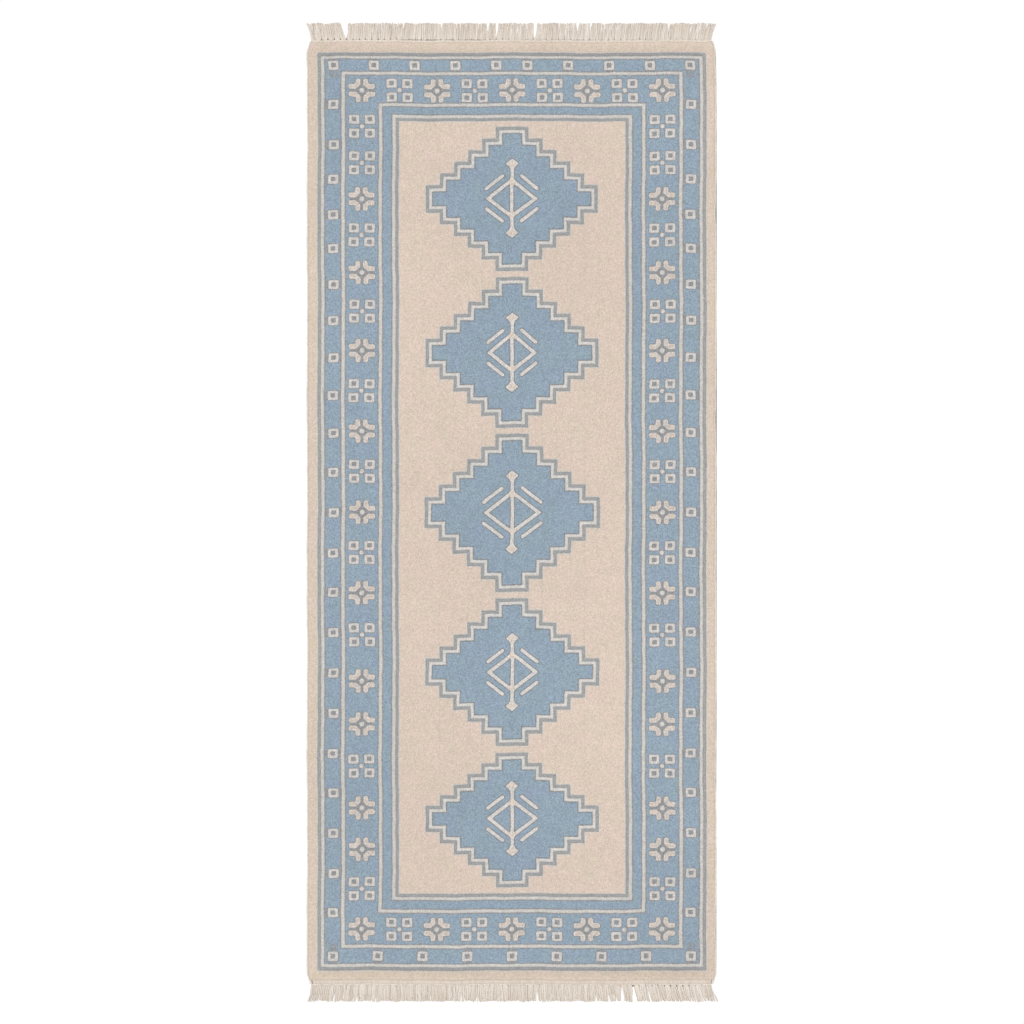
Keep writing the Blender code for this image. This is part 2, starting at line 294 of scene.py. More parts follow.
def cut_pile(
    name, yarn, other, mottle=1.0, outline=None, figure=None, filling=None, core=None, border=None
):
    """Short machine-made cut pile: matte, each tuft its own tone, with painted light on each tuft's top and
    painted shade in the gaps between the tufts.
    """
    material, tree, shader = new_material(name)
    place = add(tree, "ShaderNodeTexCoord", {}).outputs["Object"]
    inputs = {"Vector": place, "Scale": 1 / TUFT_PITCH, "Randomness": 0.55}
    tufts = add(tree, "ShaderNodeTexVoronoi", inputs, feature="F1")
    own_shade = add(tree, "ShaderNodeSeparateColor", {"Color": tufts.outputs["Color"]}).outputs["Red"]
    fibres = noise(tree, place, 0.9 * MM, 2)
    patches = noise(tree, place, 70 * MM, 3)
    dye_lots = noise(tree, place, 22 * MM, 2)
    colour = blended(tree, ramped(tree, dye_lots, 0.35, 0.65), linear(yarn), linear(other))
    colour = drawn_yarns(tree, colour, outline, figure, filling, core, border)
    colour = shaded(tree, colour, ramped(tree, own_shade, 0, 1, 1 - 0.14 * mottle, 1 + 0.14 * mottle))
    # painted light and shade: lighter in the middle of each tuft, darker towards the gaps between the tufts
    colour = shaded(tree, colour, ramped(tree, tufts.outputs["Distance"], 0.2, 0.8, 1.05, 0.8))
    colour = shaded(tree, colour, ramped(tree, fibres, 0.25, 0.75, 1 - 0.07 * mottle, 1 + 0.07 * mottle))
    colour = shaded(tree, colour, ramped(tree, patches, 0.3, 0.7, 0.982, 1.018))
    # painted light and shade near the rug's ends, where the pile leans the other way
    colour = shaded(tree, colour, attribute(tree, "painted_end_shade"))
    tree.links.new(colour, shader.inputs["Base Color"])
    dome = add(tree, "ShaderNodeMath", {0: fibres, 1: tufts.outputs["Distance"]}, operation="SUBTRACT")
    inputs = {"Height": dome.outputs["Value"], "Strength": 0.5, "Distance": 0.8 * MM}
    bump = add(tree, "ShaderNodeBump", inputs)
    tree.links.new(bump.outputs["Normal"], shader.inputs["Normal"])
    shader.inputs["Roughness"].default_value = 1.0
    shader.inputs["Specular IOR Level"].default_value = 0.1
    shader.inputs["Sheen Weight"].default_value = 0.1
    shader.inputs["Sheen Roughness"].default_value = 0.6
    return material


def spun_yarn(name, pale, deep, size=1.0 * MM, extra=0.0):
    """Plied cotton yarn: matte and a little hairy, each end its own shade."""
    material, tree, shader = new_material(name)
    place = add(tree, "ShaderNodeTexCoord", {}).outputs["Object"]
    shade = attribute(tree, "shade")
    colour = blended(tree, shade, linear(deep), linear(pale))
    hairs = noise(tree, place, size, 2)
    factor = ramped(tree, hairs, 0.25, 0.75, 0.88 - extra, 1.1 + extra)
    tree.links.new(shaded(tree, colour, factor), shader.inputs["Base Color"])
    bump = add(tree, "ShaderNodeBump", {"Height": hairs, "Strength": 0.4, "Distance": 0.4 * MM})
    tree.links.new(bump.outputs["Normal"], shader.inputs["Normal"])
    shader.inputs["Roughness"].default_value = 0.95
    shader.inputs["Specular IOR Level"].default_value = 0.15
    shader.inputs["Sheen Weight"].default_value = 0.15
    return material


def plain_weave(name, warp, weft, pitch, relief, roughness=0.95, filled=0.0):
    """Plain weave: warp and weft pass over each other in turn, which shows as a fine checked relief."""
    material, tree, shader = new_material(name)
    place = add(tree, "ShaderNodeTexCoord", {}).outputs["Object"]
    split = add(tree, "ShaderNodeSeparateXYZ", {"Vector": place})
    waves = []
    for axis in ("X", "Y"):
        inputs = {0: split.outputs[axis], 1: math.pi / pitch}
        turns = add(tree, "ShaderNodeMath", inputs, operation="MULTIPLY")
        waves.append(add(tree, "ShaderNodeMath", {0: turns.outputs[0]}, operation="SINE").outputs[0])
    crossing = add(tree, "ShaderNodeMath", {0: waves[0], 1: waves[1]}, operation="MULTIPLY").outputs[0]
    slubs = noise(tree, place, 6 * MM, 3)
    over = ramped(tree, crossing, -0.4, 0.4)
    colour = blended(tree, over, linear(warp), linear(weft))
    factor = ramped(tree, slubs, 0.3, 0.7, 0.8, 1.15)
    tree.links.new(shaded(tree, colour, factor), shader.inputs["Base Color"])
    size = add(tree, "ShaderNodeMath", {0: crossing}, operation="ABSOLUTE").outputs[0]
    height = add(tree, "ShaderNodeMath", {0: size, 1: slubs, 2: 0.5}, operation="MULTIPLY_ADD").outputs[0]
    bump = add(tree, "ShaderNodeBump", {"Height": height, "Strength": 1 - filled, "Distance": relief})
    tree.links.new(bump.outputs["Normal"], shader.inputs["Normal"])
    shader.inputs["Roughness"].default_value = roughness
    shader.inputs["Specular IOR Level"].default_value = 0.2
    return material


BLUE, BLUE_OTHER = "#7E8C9B", "#7E8E98"
OUTLINE = "#7F7F7F"
IVORY, IVORY_OTHER = "#B2AEAB", "#B0AEA9"
BRIGHT, BRIGHT_OTHER = "#B8B4B1", "#B6B4AF"
EDGE_BLEND = ("#B4AFAA", 1.4, 2.6)  # beige greys a little where grey yarn stands beside it
BLUE_MOTTLE = 1.35
FIGURES = {"mottle": BLUE_MOTTLE, "outline": OUTLINE, "figure": IVORY}
EMBLEM_TONES = {"mottle": BLUE_MOTTLE, "outline": "#777777", "figure": BRIGHT}
PILE = {
    # Warm, calm ground of the field
    "beige": cut_pile("beige_cut_pile", "#BDACA1", "#BAAC9E", 0.8, border=EDGE_BLEND),
    # The same yarn, a little darker, at the rug's edge
    "edge": cut_pile("beige_edge_cut_pile", "#BBAB9F", "#B7AA9A", 0.8, border=EDGE_BLEND),
    # Neutral outline, paler where it meets the ivory and beige
    "grey": cut_pile("grey_cut_pile", "#828485", "#838583", core="#8C8C8C", border=("#A3A19F", 0.2, 1.0)),
    # Thin pale lines between the bands
    "ivory": cut_pile("ivory_cut_pile", IVORY, IVORY_OTHER),
    # The same, a shade paler, round the medallions
    "bright": cut_pile("bright_ivory_cut_pile", BRIGHT, BRIGHT_OTHER),
    # Dusty blue, mottled tuft by tuft, with dark yarn along its lines
    "blue": cut_pile("blue_cut_pile", BLUE, BLUE_OTHER, BLUE_MOTTLE, OUTLINE),
    # The blue with the small ivory squares of the guard band
    "guard": cut_pile("blue_cut_pile_with_squares", BLUE, BLUE_OTHER, **FIGURES),
    # The blue with the flowers, warmer inside their petals, and the four-squares
    "main": cut_pile("blue_cut_pile_with_flowers", BLUE, BLUE_OTHER, filling="#B3A79D", **FIGURES),
    # The blue with an emblem, warmer at its knots
    "ground": cut_pile("blue_cut_pile_with_emblem", BLUE, BLUE_OTHER, filling="#BAAFA5", **EMBLEM_TONES),
}
# Creamy fringe, each yarn its own shade, with painted light at the roots and painted shade towards the
# tips, to even out how light falls along the strands
FRINGE_COTTON = spun_yarn("plied_fringe_cotton", "#CEC6BD", "#B6AB9F", 1.5 * MM, 0.06)
# Pale ridged rim down both sides
EDGE_COTTON = spun_yarn("overcast_yarn", "#CFC7BE", "#C1B8AE")
# Pale row at each end of the pile
HEM_COTTON = spun_yarn("hem_yarn", "#CDC3B8", "#B1A69B")
# Brown weave, darkened as painted shade, which shows as dark slits between the roots of the tassels
TAPE = plain_weave("header_tape", "#988673", "#8A7664", 1.2 * MM, 0.3 * MM)
# Coarse tan weave, seen only where the pile opens
JUTE = plain_weave("jute_and_cotton_weave", "#B79F80", "#CDBFA8", 2.6 * MM, 0.5 * MM)
# The back: the same weave under a thin satin coat
LATEX = plain_weave("latex_filled_weave", "#B9AA94", "#C6B9A5", 2.6 * MM, 0.4 * MM, 0.6, 0.3)


# ---------------------------------------------------------------- how the rug lies


def smooth(value, low, high):
    """An eased step from 0 at low to 1 at high."""
    t = np.clip((value - low) / (high - low), 0, 1)
    return t * t * (3 - 2 * t)


def lay(points):
    """Moves points from the true rectangle to how the rug lies: a little wavy, its corners drawn in."""
    x, y, z = points.T.copy()
    wobble_x = 0.5 * MM * np.sin(y * 19.0 + 0.7) + 0.3 * MM * np.sin(y * 47.0 + x * 3 + 2.1)
    wobble_x += 0.25 * MM * np.sin(y * 131.0 + 1.0)
    wobble_y = 0.6 * MM * np.sin(x * 22.0 + 1.3) + 0.35 * MM * np.sin(x * 61.0 + y * 2 + 0.4)
    wobble_y += 0.2 * MM * np.sin(x * 137.0 + 0.3)
    corner = smooth(np.abs(y), PILE_END - CORNER_ALONG, HEM_END)
    corner *= smooth(np.abs(x), HALF_WIDTH - CORNER_ACROSS, HALF_WIDTH)
    inside = 1 - smooth(np.abs(y), HEM_END, FRINGE_TIP)
    x += wobble_x * inside - np.sign(x) * CORNER_DRAW * corner
    x += TRIM_SHIFT * inside * smooth(np.abs(x), PILE_HALF_WIDTH - 8 * MM, PILE_HALF_WIDTH)
    y += wobble_y * inside
    swell = np.sin(x * 6.1 + y * 2.3 + 0.5) * np.sin(y * 4.7 - x * 1.9)
    swell += 0.6 * np.sin(y * 9.3 + x * 4.1 + 2)
    z += SWELL_HEIGHT * (swell + 1.6) * inside
    return np.stack([x, y, z], axis=1)


def coordinates(mesh):
    """The mesh's points as rows of x, y and z."""
    flat = np.empty(len(mesh.vertices) * 3, np.float32)
    mesh.vertices.foreach_get("co", flat)
    return flat.reshape(-1, 3).astype(float)


def place_points(mesh, points):
    """Moves the mesh's points to the rows of x, y and z."""
    mesh.vertices.foreach_set("co", points.astype(np.float32).ravel())
    mesh.update()


def store(mesh, name, values):
    """Keeps one value a point on the mesh, for its material."""
    layer = mesh.attributes.new(name, "FLOAT", "POINT")
    layer.data.foreach_set("value", np.asarray(values, np.float32))


def finished(name, bm, material, body, node):
    """The bmesh as a smooth-shaded piece that rides on its body and stands for its node."""
    mesh = bpy.data.meshes.new(name)
    bm.to_mesh(mesh)
    bm.free()
    mesh.shade_smooth()
    mesh.materials.append(material)
    piece = bpy.data.objects.new(name, mesh)
    bpy.context.scene.collection.objects.link(piece)
    if body:
        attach(piece, body)
    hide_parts(*([node] if isinstance(node, str) else node))
    return piece


# ---------------------------------------------------------------- outlines as distances, negative inside


def rectangle(x, y, low_x, high_x, low_y, high_y):
    """A rectangle between the lines."""
    return np.maximum(np.maximum(low_x - x, x - high_x), np.maximum(low_y - y, y - high_y))


def rounded_box(x, y, half_x, half_y, radius):
    """A rectangle about the middle, with rounded corners."""
    over_x, over_y = np.abs(x) - half_x + radius, np.abs(y) - half_y + radius
    outside = np.hypot(np.maximum(over_x, 0), np.maximum(over_y, 0))
    return outside + np.minimum(np.maximum(over_x, over_y), 0) - radius


def stroke(x, y, start, end, radius):
    """A straight stroke with round ends."""
    run_x, run_y = end[0] - start[0], end[1] - start[1]
    t = np.clip(((x - start[0]) * run_x + (y - start[1]) * run_y) / (run_x**2 + run_y**2), 0, 1)
    return np.hypot(x - start[0] - t * run_x, y - start[1] - t * run_y) - radius


def diamond(x, y, half_x, half_y):
    """Distance to a rhombus's outline, straight across its sides."""
    scale = half_x * half_y / math.hypot(half_x, half_y)
    return (np.abs(x) / half_x + np.abs(y) / half_y - 1) * scale


def joined(first, second, ease=0.0):
    """Two shapes as one, with an eased inner corner."""
    if not ease:
        return np.minimum(first, second)
    h = np.clip(0.5 + 0.5 * (second - first) / ease, 0, 1)
    return second + (first - second) * h - ease * h * (1 - h)


def ringed_square(x, y, half_x=9.3, half_y=8.3):
    """A square ring with soft corners and a dark square core."""
    core = rounded_box(x, y - 0.4, half_x - 4.8, half_y - 4.1, 0.8)
    return np.maximum(rounded_box(x, y, half_x, half_y, 2.0), np.minimum(-core, CORE_MM))


def four_squares(x, y):
    """Four ringed squares round a dot."""
    squares = ringed_square(np.abs(x) - 14.7, np.abs(y) - 12.9)
    return np.minimum(squares, np.hypot(x, y) - 4.0)


def petals(x, y):
    """Four bent petals, each an upright and a level arm with the inner corner cut off."""
    ax, ay = np.abs(x), np.abs(y)
    upright = rounded_box(ax - 7.1, ay - 12.3, 4.2, 9.3, 2.6)
    level = rounded_box(ax - 13.6, ay - 7.3, 10.7, 4.4, 2.8)
    inner_corner = 9.8 - 0.68 * ax - 0.735 * ay
    return np.maximum(joined(upright, level, 3.5), inner_corner)


def flower(x, y):
    """The petals with a dot between them, and dark yarn in the channels that part them."""
    channel = np.maximum(np.minimum(np.abs(x), np.abs(y)) - 2.9, rounded_box(x, y, 22, 19.5, 3))
    inner = 0.68 * np.abs(x) + 0.735 * np.abs(y) - 9.4
    dark = np.where(np.minimum(channel, inner) < 0, CORE_MM, FAR_OFF)
    return np.minimum(np.minimum(petals(x, y), np.hypot(x, y) - 4.4), dark)


def emblem(x, y, number):
    """Bar with diamond ends through a rhombus, and a loose stroke along each side of the rhombus."""
    shift, sides, outer, inner, bar = EMBLEMS[number - 1]
    ax, ay = np.abs(x), np.abs(y - shift)
    rhombus = np.abs(diamond(x, ay, *sides)) - 3.0
    loose = stroke(ax, ay, outer, inner, 2.9)
    upright = joined(rounded_box(x, ay, 3.0, bar, 1), diamond(x, ay - bar + 2, 12.0, 9.6), 5)
    return np.minimum(joined(upright, rhombus, 3), loose)


def emblem_filling(x, y, number):
    """The warmer knots of the emblem: both ends of its bar, and where the rhombus meets it."""
    shift, sides, _, _, bar = EMBLEMS[number - 1]
    ay = np.abs(y - shift)
    ends = diamond(x, ay - bar + 2, 11.5, 9.5)
    meetings = diamond(x, ay - sides[1] + 4, 11.5, 9.5)
    return np.minimum(ends, meetings)


def lozenge_rows(number, inset):
    """Half width, near line and far line of each box that makes up a stepped lozenge."""
    low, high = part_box(f"medallion_{number}_outline")
    shape = [value * MM for value in MEDALLION_SHAPES[number - 1]]
    ends_shift, tips_shift, wider, longer, end_flat, tip_flat = shape
    half_width, half_length = high.x + wider, (high.y - low.y) / 2 + longer
    rows = []
    for step in range(MEDALLION_STEPS + 1):
        share = step / MEDALLION_STEPS
        width = end_flat + share * (half_width - end_flat) - inset
        length = half_length + share * (tip_flat - half_length) - inset
        middle = (low.y + high.y) / 2 + ends_shift + share * (tips_shift - ends_shift)
        rows.append((width, middle - length, middle + length))
    return rows


def lozenge(x, y, number, inset):
    """The stepped outline of a medallion, so far inside its outer line."""
    rows = lozenge_rows(number, inset)
    return np.minimum.reduce([rectangle(x, y, -width, width, near, far) for width, near, far in rows])


def lozenge_lines(number, inset):
    """All the lines across and along the rug on which a stepped lozenge turns."""
    rows = lozenge_rows(number, inset)
    across = [side * width for width, _, _ in rows for side in (-1, 1)]
    along = [line for row in rows for line in row[1:]]
    return across, along


def inset_of(number, part):
    """How far inside the medallion's outer line the part's own starts in the frame."""
    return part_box(f"medallion_{number}_outline")[1].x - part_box(f"medallion_{number}_{part}")[1].x


# ---------------------------------------------------------------- pile


def spaced(lines, cell):
    """The lines, with more between them so that no two are further apart than a cell."""
    lines = sorted(set(round(line, 6) for line in lines))
    places = [lines[0]]
    for start, end in zip(lines, lines[1:]):
        count = max(1, math.ceil((end - start) / cell - 0.01))
        places += [start + (end - start) * step / count for step in range(1, count + 1)]
    return places


def lattice(x_lines, y_lines, cell):
    """A flat grid with rows and columns on all the lines given."""
    xs, ys = spaced(x_lines, cell), spaced(y_lines, cell)
    bm = bmesh.new()
    bmesh.ops.create_grid(bm, x_segments=len(xs) - 1, y_segments=len(ys) - 1, size=0.5)
    last_x, last_y = len(xs) - 1, len(ys) - 1
    for vert in bm.verts:
        vert.co = (xs[round((vert.co.x + 0.5) * last_x)], ys[round((vert.co.y + 0.5) * last_y)], 0)
    return bm


def zone_bmesh(x_lines, y_lines, outline, cell, walls):
    """A sheet inside the outline, with walls down to the foundation, closed below."""
    bm = lattice(x_lines, y_lines, cell)
    centres = np.array([face.calc_center_median()[:2] for face in bm.faces])
    outside = outline(centres[:, 0], centres[:, 1]) > 0
    spare = [face for face, out in zip(bm.faces, outside) if out]
    bmesh.ops.delete(bm, geom=spare, context="FACES")
    bmesh.ops.translate(bm, vec=(0, 0, PILE_TOP), verts=bm.verts)
    rim = [edge for edge in bm.edges if edge.is_boundary]
    for _ in range(walls):
        grown = bmesh.ops.extrude_edge_only(bm, edges=rim)["geom"]
        lower = [item for item in grown if isinstance(item, bmesh.types.BMVert)]
        bmesh.ops.translate(bm, vec=(0, 0, (PILE_BASE - PILE_TOP) / walls), verts=lower)
        rim = [item for item in grown if isinstance(item, bmesh.types.BMEdge) and item.is_boundary]
    bmesh.ops.triangle_fill(bm, edges=rim, use_beauty=False)
    bmesh.ops.recalc_face_normals(bm, faces=bm.faces)
    return bm


def pile_zone(
    node, finish, slot, x_lines, y_lines, outline,
    cell=TUFT_CELL, figures=None, filling=None, walls=1,
):
    """One colour zone of the pile: tuft tips that dip along its lines and figures, with walls below."""
    bm = zone_bmesh(x_lines, y_lines, outline, cell, walls)
    piece = finished("cut_" + node, bm, PILE[finish], "rug", node)
    mesh = piece.data
    points = coordinates(mesh)
    x, y = points[:, 0], points[:, 1]
    edge = -outline(x, y)
    rim = -rectangle(x, y, -PILE_HALF_WIDTH, PILE_HALF_WIDTH, -PILE_END, PILE_END)
    carve = np.exp(-((edge / CARVE_WIDTH) ** 2)) * (rim > UNCARVED_RIM)
    if figures:
        figure = figures(x / MM, y / MM)
        store(mesh, "figure_mm", figure)
        carve = np.maximum(carve, FIGURE_CARVE * np.exp(-((figure * MM / CARVE_WIDTH) ** 2)))
    if filling:
        store(mesh, "filling_mm", filling(x / MM, y / MM))
    store(mesh, "edge_mm", np.where(edge < rim, edge / MM, FAR_OFF))
    store(mesh, "painted_end_shade", painted_end_shade(x, y))
    tips = points[:, 2] > PILE_TOP - 0.01 * MM
    rng = np.random.default_rng(SEED + RINGS.index(node) if node in RINGS else SEED)
    rise = rng.normal(0, TUFT_RISE, len(points)) - CARVE_DEPTH * carve
    if node == "pile_edge_band":
        shoulder(points, tips, rng)
    points[:, 2] += np.where(tips, rise, 0)
    place_points(mesh, lay(points))
    return piece


def painted_end_shade(x, y):
    """Painted shade near both ends of the rug, where the pile leans the other way: a little lighter at the
    very end, then darker a little way in.
    """
    from_side, from_end = PILE_HALF_WIDTH - np.abs(x), PILE_END - np.abs(y)
    at_end = smooth(from_side - from_end, -6 * MM, 10 * MM)
    shade = np.interp(from_end / MM, (0, 16, 21, 25, 28), (1.02, 0.94, 0.93, 0.87, 1.0))
    return 1 + at_end * (shade - 1)


def shoulder(points, tips, rng):
    """Rounds off the pile towards the rug's outer edge, and lets its walls lean out over the rim."""
    x, y, z = points.T
    edge = -rectangle(x, y, -PILE_HALF_WIDTH, PILE_HALF_WIDTH, -PILE_END, PILE_END)
    near_edge = 1 - np.clip(edge / (5 * MM), 0, 1)
    near_end = 1 - np.clip((PILE_END - np.abs(y)) / (6 * MM), 0, 1)
    drop = np.maximum(SIDE_DROP * near_edge**2, END_DROP * near_end**2)
    points[:, 2] -= np.where(tips, drop, 0)
    level = np.clip((z - PILE_BASE) / (PILE_TOP - PILE_BASE), 0, 1)
    lean = WALL_LEAN * np.sin(level * math.pi * 0.75) * (near_edge > 0.99)
    lean += np.abs(rng.normal(0, WALL_UNEVEN, len(points))) * (near_edge > 0.99) * (level > 0.1)
    at_side = np.abs(np.abs(x) - PILE_HALF_WIDTH) < 0.1 * MM
    at_end = np.abs(np.abs(y) - PILE_END) < 0.1 * MM
    points[:, 0] += np.sign(x) * lean * at_side
    points[:, 1] += np.sign(y) * lean * at_end
    points[:, 1] += NEAR_TUCK * smooth(-y, PILE_END - NEAR_TUCK_REACH, PILE_END)


def lines_of(node):
    """The node's four outer lines: low x, high x, low y, high y."""
    low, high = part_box(node)
    return low.x, high.x, low.y, high.y


def band_middle(node, inner, side):
    """Middle of a band in mm, from its own outer line to the next zone's. Side counts as in lines_of."""
    return (lines_of(node)[side] + lines_of(inner)[side]) / 2 / MM


def guard_squares(x, y):
    """Small squares all round the guard band."""
    near, far = (band_middle("pile_guard_band", "pile_guard_ivory_line", side) for side in (2, 3))
    figure = np.full(len(x), FAR_OFF)
    for place in GUARD_PLACES:
        across, along = np.abs(x) - GUARD_X, y - place
        figure = np.minimum.reduce([figure, ringed_square(across, along), shade_beside(along, across)])
    for place in GUARD_FAR_PLACES:
        across, along = np.abs(x) - place, y - far
        figure = np.minimum.reduce([figure, ringed_square(across, along), shade_beside(across, along)])
    for count in range(GUARD_NEAR_COUNT):
        across, along = np.abs(x) - count * GUARD_NEAR_PITCH, y - near + 0.5
        square = ringed_square(across, along, 9.3, 8.7)
        figure = np.minimum.reduce([figure, square, shade_beside(across, along)])
    return figure


def shade_beside(along, across):
    """Dark yarn that fills the gaps between a square and the lines at both sides of its band."""
    return np.where((np.abs(along) < BESIDE_ALONG) & (np.abs(across) < BESIDE_ACROSS), BESIDE_MM, FAR_OFF)


def main_places():
    """(kind, x, y) of each flower and four-square, with x on one side only."""
    column = band_middle("pile_main_band", "pile_main_ivory_line", 1)
    places = [(kind, column, y) for kind, y in zip(COLUMN_KINDS, COLUMN_PLACES)]
    for y in (COLUMN_PLACES[0], COLUMN_PLACES[-1]):
        places += [(kind, count * ROW_PITCH, y) for count, kind in enumerate(ROW_KINDS)]
    return places


def main_figures(x, y):
    """Flowers and four-squares all round the main band."""
    figure = np.full(len(x), FAR_OFF)
    for kind, place_x, place_y in main_places():
        across, along = np.abs(x) - place_x, y - place_y
        shape = four_squares(across, along) if kind == "S" else flower(across, along)
        figure = np.minimum(figure, shape)
    return figure


def main_filling(x, y):
    """The petals, which show the warmer yarn inside their edges."""
    filling = np.full(len(x), FAR_OFF)
    for kind, place_x, place_y in main_places():
        if kind == "F":
            filling = np.minimum(filling, petals(np.abs(x) - place_x, y - place_y))
    return filling


OUTLINE_LOOK = ("grey", "pile_grey", {})
LINE_LOOK = ("ivory", "pile_ivory", {})
GUARD = {"cell": FIGURE_CELL, "figures": guard_squares}
MAIN = {"cell": FIGURE_CELL, "figures": main_figures, "filling": main_filling}
# The finish, slot and extras of each border zone
RING_LOOKS = {
    "pile_edge_band": ("edge", "pile_beige", {"walls": 3}),
    "pile_outer_outline": OUTLINE_LOOK,
    "pile_outer_ivory_line": LINE_LOOK,
    "pile_guard_band": ("guard", "pile_blue", GUARD),
    "pile_guard_ivory_line": LINE_LOOK,
    "pile_main_band": ("main", "pile_blue", MAIN),
    "pile_main_ivory_line": LINE_LOOK,
    "pile_inner_band": ("blue", "pile_blue", {}),
    "pile_inner_ivory_line": LINE_LOOK,
    "pile_inner_outline": OUTLINE_LOOK,
}


def make_rings():
    """The border zones, each from its own outer line to the next zone's."""
    for ring, inner in zip(RINGS, RINGS[1:]):
        outer_lines, inner_lines = lines_of(ring), lines_of(inner)
        x_lines = [*outer_lines[:2], *inner_lines[:2]]
        y_lines = [*outer_lines[2:], *inner_lines[2:]]

        def outline(x, y, outer_lines=outer_lines, inner_lines=inner_lines):
            return np.maximum(rectangle(x, y, *outer_lines), -rectangle(x, y, *inner_lines))

        finish, slot, options = RING_LOOKS[ring]
        pile_zone(ring, finish, slot, x_lines, y_lines, outline, **options)


def make_field():
    """The beige field, with a hole for each medallion."""
    low_x, high_x, low_y, high_y = lines_of("pile_field")
    x_lines, y_lines = [low_x, high_x], [low_y, high_y]
    for number in MEDALLIONS:
        across, along = lozenge_lines(number, 0)
        x_lines += across
        y_lines += along

    def outline(x, y):
        holes = [-lozenge(x, y, number, 0) for number in MEDALLIONS]
        return np.maximum.reduce([rectangle(x, y, low_x, high_x, low_y, high_y), *holes])

    pile_zone("pile_field", "beige", "pile_beige", x_lines, y_lines, outline)


def make_medallion(number):
    """A medallion's grey outline, ivory line, and blue ground with its emblem."""
    low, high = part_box(f"medallion_{number}_outline")
    middle = (low.y + high.y) / 2
    line_inset = inset_of(number, "ivory_line") + OUTLINE_EXTRA
    insets = [0, line_inset, inset_of(number, "ground") - LINE_LESS, None]
    parts = (("outline", "grey"), ("ivory_line", "bright"), ("ground", "ground"))
    for (part, finish), inset, inner in zip(parts, insets, insets[1:]):
        x_lines, y_lines = lozenge_lines(number, inset)
        if inner is not None:
            more_x, more_y = lozenge_lines(number, inner)
            x_lines, y_lines = x_lines + more_x, y_lines + more_y

        def outline(x, y, inset=inset, inner=inner):
            outer = lozenge(x, y, number, inset)
            return outer if inner is None else np.maximum(outer, -lozenge(x, y, number, inner))

        options = {}
        if part == "ground":
            options = {
                "cell": FIGURE_CELL,
                "figures": lambda x, y: emblem(x, y - middle / MM, number),
                "filling": lambda x, y: emblem_filling(x, y - middle / MM, number),
            }
        slot = {"grey": "pile_grey", "bright": "pile_ivory", "ground": "pile_blue"}[finish]
        piece = pile_zone(f"medallion_{number}_{part}", finish, slot, x_lines, y_lines, outline, **options)
        if part == "ground":
            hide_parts(f"medallion_{number}_emblem")


# ---------------------------------------------------------------- back, sides and ends


def make_sheet(name, node, material):
    """A flat closed sheet in the node's place."""
    low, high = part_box(node)
    bm = lattice([low.x, high.x], [low.y, high.y], SHEET_CELL)
    bmesh.ops.translate(bm, vec=(0, 0, high.z), verts=bm.verts)
    grown = bmesh.ops.extrude_face_region(bm, geom=bm.faces[:])["geom"]
    lower = [item for item in grown if isinstance(item, bmesh.types.BMVert)]
    bmesh.ops.translate(bm, vec=(0, 0, low.z - high.z), verts=lower)
    bmesh.ops.recalc_face_normals(bm, faces=bm.faces)
    piece = finished(name, bm, material, "rug", node)
    place_points(piece.data, lay(coordinates(piece.data)))
    return piece


def yarn_wrap(
    name, node, material,
    along, start, end, middle, radii, pitch, slant, rise, shades=(0, 1),
):
    """A closed ridged tube, as yarn sewn over and over an edge: along is the axis it runs down, 0 or 1."""
    rows = round((end - start) / (pitch / WRAP_ROWS))
    bm = bmesh.new()
    bmesh.ops.create_grid(bm, x_segments=WRAP_SIDES, y_segments=rows, size=0.5)
    for vert in bm.verts:
        turn = (vert.co.x + 0.5) * 2 * math.pi
        reach = start + (vert.co.y + 0.5) * (end - start)
        ridge = abs(math.sin(math.pi * (reach / pitch + slant * turn / (2 * math.pi))))
        swell = 1 + rise / radii[0] * (ridge - 0.6)
        across = middle[0] + radii[0] * swell * math.cos(turn)
        level = middle[1] + radii[1] * swell * math.sin(turn)
        vert.co = (across, reach, level) if along else (reach, across, level)
    bmesh.ops.remove_doubles(bm, verts=bm.verts, dist=0.001 * MM)
    bmesh.ops.holes_fill(bm, edges=[edge for edge in bm.edges if edge.is_boundary])
    bmesh.ops.recalc_face_normals(bm, faces=bm.faces)
    piece = finished(name, bm, material, "rug", node)
    points = coordinates(piece.data)
    turns = np.floor(points[:, along] / pitch).astype(int)
    each_turn = np.random.default_rng(SEED).uniform(*shades, SHADE_COUNT)
    store(piece.data, "shade", each_turn[turns % SHADE_COUNT])
    place_points(piece.data, lay(points))
    return piece


def make_edges():
    """The overcasting down both sides, and the hem and the header's chain at both ends."""
    made = []
    for side, sign in (("left", -1), ("right", 1)):
        middle = (sign * (HALF_WIDTH - 3 * MM), 3.1 * MM)
        nodes = [f"side_binding_{side}", f"edge_cord_{side}"]
        wrap = yarn_wrap(
            f"overcast_wrap_{side}", nodes, EDGE_COTTON,
            1, -HEM_END, HEM_END, middle, (3.1 * MM, 3.0 * MM), 2.6 * MM, 0.7 * sign, 0.4 * MM,
        )
        made.append(wrap)
    for end, sign in (("far", 1), ("near", -1)):
        tuck = NEAR_TUCK / 2 if sign < 0 else 0
        middle = (sign * (HEM_END - 3.2 * MM - tuck), 4.2 * MM)
        made.append(
            yarn_wrap(
                f"hem_wrap_{end}", f"end_hem_{end}", HEM_COTTON,
                0, -HEM_REACH, HEM_REACH, middle, (3.6 * MM + tuck, 4.2 * MM), 2.4 * MM, 0.5, 0.2 * MM,
                # painted light and shade: the near hem's yarn darker than the far hem's, to even out how
                # differently light falls on the two hems
                (0.45, 0.85) if sign > 0 else (0, 0.4),
            )
        )
        reach = FRINGE_HALF_WIDTH
        middle = (sign * (HEM_END + 0.5 * MM), 4.4 * MM)
        made.append(
            yarn_wrap(
                f"header_chain_{end}", f"fringe_header_{end}", FRINGE_COTTON,
                0, -reach, reach, middle, (1.3 * MM, 1.2 * MM), 3.8 * MM, 1.5, 0.4 * MM,
            )
        )
    return made


